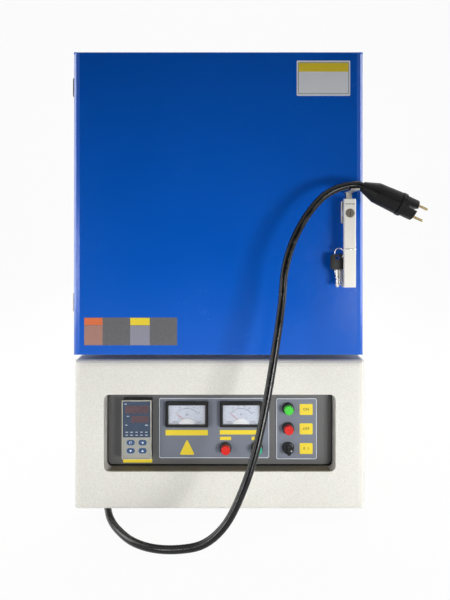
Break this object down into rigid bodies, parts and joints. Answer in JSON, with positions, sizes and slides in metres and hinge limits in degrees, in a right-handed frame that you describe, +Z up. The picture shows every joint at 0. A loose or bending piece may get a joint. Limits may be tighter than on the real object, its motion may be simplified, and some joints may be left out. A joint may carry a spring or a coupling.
{
  "type": "dental lab furnace",
  "caption": "Bench furnace for sintering dental ceramics, with a side-hinged insulated door, a locking lever, a recessed instrument console and a mains cord.",
  "frame": {"origin": "middle of the furnace's bounding box on the surface it stands on, measured without the mains cord", "axes": "+Z up, +X to the right as seen from the front, +Y from the door towards the back"},
  "size_m": [0.5707, 0.7949, 0.763],
  "materials": {
    "pale_paint": "satin powder coat",
    "blue_paint": "glossy powder coat",
    "fascia_grey": "matt paint",
    "plate_grey": "matt anodised",
    "black_plastic": "matt",
    "dark_rubber": "matt",
    "sill_olive": "matt paint",
    "steel": "plated",
    "zinc_grey": "satin",
    "dark_metal": "dark",
    "galvanised": "galvanised",
    "fibre_white": "matt fibre",
    "hearth_cream": "matt",
    "element_grey": "glazed grey",
    "aluminium": "plain",
    "copper": "enamelled winding",
    "glass": "clear",
    "needle_red": "matt",
    "button_green": "gloss",
    "button_red": "gloss",
    "button_teal": "gloss",
    "key_blue": "matt"
  },
  "bodies": {
    "cabinet": {"base_shell": "pale_paint", "base_floor": "galvanised", "base_back_panel": "pale_paint", "console_sill": "sill_olive", "console_fascia": "fascia_grey", "meter_plate": "plate_grey", "switch_plate": "plate_grey", "controller_case": "black_plastic", "ammeter_case": "black_plastic", "voltmeter_case": "black_plastic", "ammeter_glass": "glass", "voltmeter_glass": "glass", "transformer_core": "dark_metal", "transformer_coil": "copper", "power_board": "galvanised", "fan_frame": "black_plastic", "upper_shell": "pale_paint", "top_cover": "pale_paint", "upper_back_panel": "pale_paint", "mouth_frame": "steel", "inner_casing": "galvanised", "insulation_floor": "fibre_white", "insulation_left": "fibre_white", "insulation_right": "fibre_white", "insulation_back": "fibre_white", "insulation_roof": "fibre_white", "hearth_plate": "hearth_cream", "left_elements": "element_grey", "right_elements": "element_grey", "thermocouple": "dark_metal", "low_hinge_pin_half": "steel", "high_hinge_pin_half": "steel", "cord_gland": "black_plastic", "cord_under": "dark_rubber"},
    "door": {"door_skin": "blue_paint", "door_liner": "galvanised", "door_insulation": "fibre_white", "low_hinge_door_half": "steel", "high_hinge_door_half": "steel", "lock_base": "zinc_grey", "cord_free": "dark_rubber", "plug_body": "dark_rubber", "plug_pins": "steel"},
    "lever": {"lock_lever": "zinc_grey", "lock_cam": "steel", "key_ring": "steel"},
    "cylinder": {"lock_cylinder": "dark_metal"},
    "keys": {"keys": "dark_metal"},
    "power_on": {"power_on_button": "button_green"},
    "power_off": {"power_off_button": "button_red"},
    "heat_stop": {"heat_stop_button": "button_red"},
    "heat_start": {"heat_start_button": "button_teal"},
    "lock_switch": {"lock_knob": "black_plastic"},
    "cycle_key": {"controller_cycle_key": "key_blue"},
    "left_key": {"controller_left_key": "key_blue"},
    "down_key": {"controller_down_key": "key_blue"},
    "up_key": {"controller_up_key": "key_blue"},
    "ammeter_hand": {"ammeter_needle": "needle_red"},
    "voltmeter_hand": {"voltmeter_needle": "needle_red"},
    "fan": {"fan_rotor": "black_plastic"}
  },
  "joints": [
    {"name": "door_swing", "type": "hinge", "parent": "cabinet", "child": "door", "pos_m": [-0.2374, -0.2031, 0.2702], "axis": [0, 0, 1], "range_deg": [-120, 0]},
    {"name": "lever_turn", "type": "hinge", "parent": "door", "child": "lever", "pos_m": [0.21075, -0.2531, 0.4994], "axis": [0, 1, 0], "range_deg": [0, 90]},
    {"name": "cylinder_turn", "type": "hinge", "parent": "lever", "child": "cylinder", "pos_m": [0.21075, -0.2841, 0.4994], "axis": [0, 1, 0], "range_deg": [0, 90]},
    {"name": "keys_swing", "type": "hinge", "parent": "lever", "child": "keys", "pos_m": [0.19658, -0.26956, 0.4421], "axis": [0, 1, 0], "range_deg": [-12, 75]},
    {"name": "power_on_press", "type": "slide", "parent": "cabinet", "child": "power_on", "axis": [0, 1, 0], "range_m": [0, 0.003], "stiffness_N_per_m": 300},
    {"name": "power_off_press", "type": "slide", "parent": "cabinet", "child": "power_off", "axis": [0, 1, 0], "range_m": [0, 0.003], "stiffness_N_per_m": 300},
    {"name": "heat_stop_press", "type": "slide", "parent": "cabinet", "child": "heat_stop", "axis": [0, 1, 0], "range_m": [0, 0.003], "stiffness_N_per_m": 300},
    {"name": "heat_start_press", "type": "slide", "parent": "cabinet", "child": "heat_start", "axis": [0, 1, 0], "range_m": [0, 0.003], "stiffness_N_per_m": 300},
    {"name": "lock_switch_turn", "type": "hinge", "parent": "cabinet", "child": "lock_switch", "pos_m": [0.119, -0.2317, 0.1123], "axis": [0, 1, 0], "range_deg": [0, 90]},
    {"name": "cycle_key_press", "type": "slide", "parent": "cabinet", "child": "cycle_key", "axis": [0, 1, 0], "range_m": [0, 0.0006], "stiffness_N_per_m": 500},
    {"name": "left_key_press", "type": "slide", "parent": "cabinet", "child": "left_key", "axis": [0, 1, 0], "range_m": [0, 0.0006], "stiffness_N_per_m": 500},
    {"name": "down_key_press", "type": "slide", "parent": "cabinet", "child": "down_key", "axis": [0, 1, 0], "range_m": [0, 0.0006], "stiffness_N_per_m": 500},
    {"name": "up_key_press", "type": "slide", "parent": "cabinet", "child": "up_key", "axis": [0, 1, 0], "range_m": [0, 0.0006], "stiffness_N_per_m": 500},
    {"name": "ammeter_hand_turn", "type": "hinge", "parent": "cabinet", "child": "ammeter_hand", "pos_m": [-0.04865, -0.2357, 0.156], "axis": [0, 1, 0], "range_deg": [0, 104], "stiffness_Nm_per_rad": 0.001},
    {"name": "voltmeter_hand_turn", "type": "hinge", "parent": "cabinet", "child": "voltmeter_hand", "pos_m": [0.04095, -0.2357, 0.156], "axis": [0, 1, 0], "range_deg": [0, 104], "stiffness_Nm_per_rad": 0.001},
    {"name": "fan_spin", "type": "hinge", "parent": "cabinet", "child": "fan", "pos_m": [0.11065, 0.2781, 0.145], "axis": [0, 1, 0], "continuous": true}
  ]
}
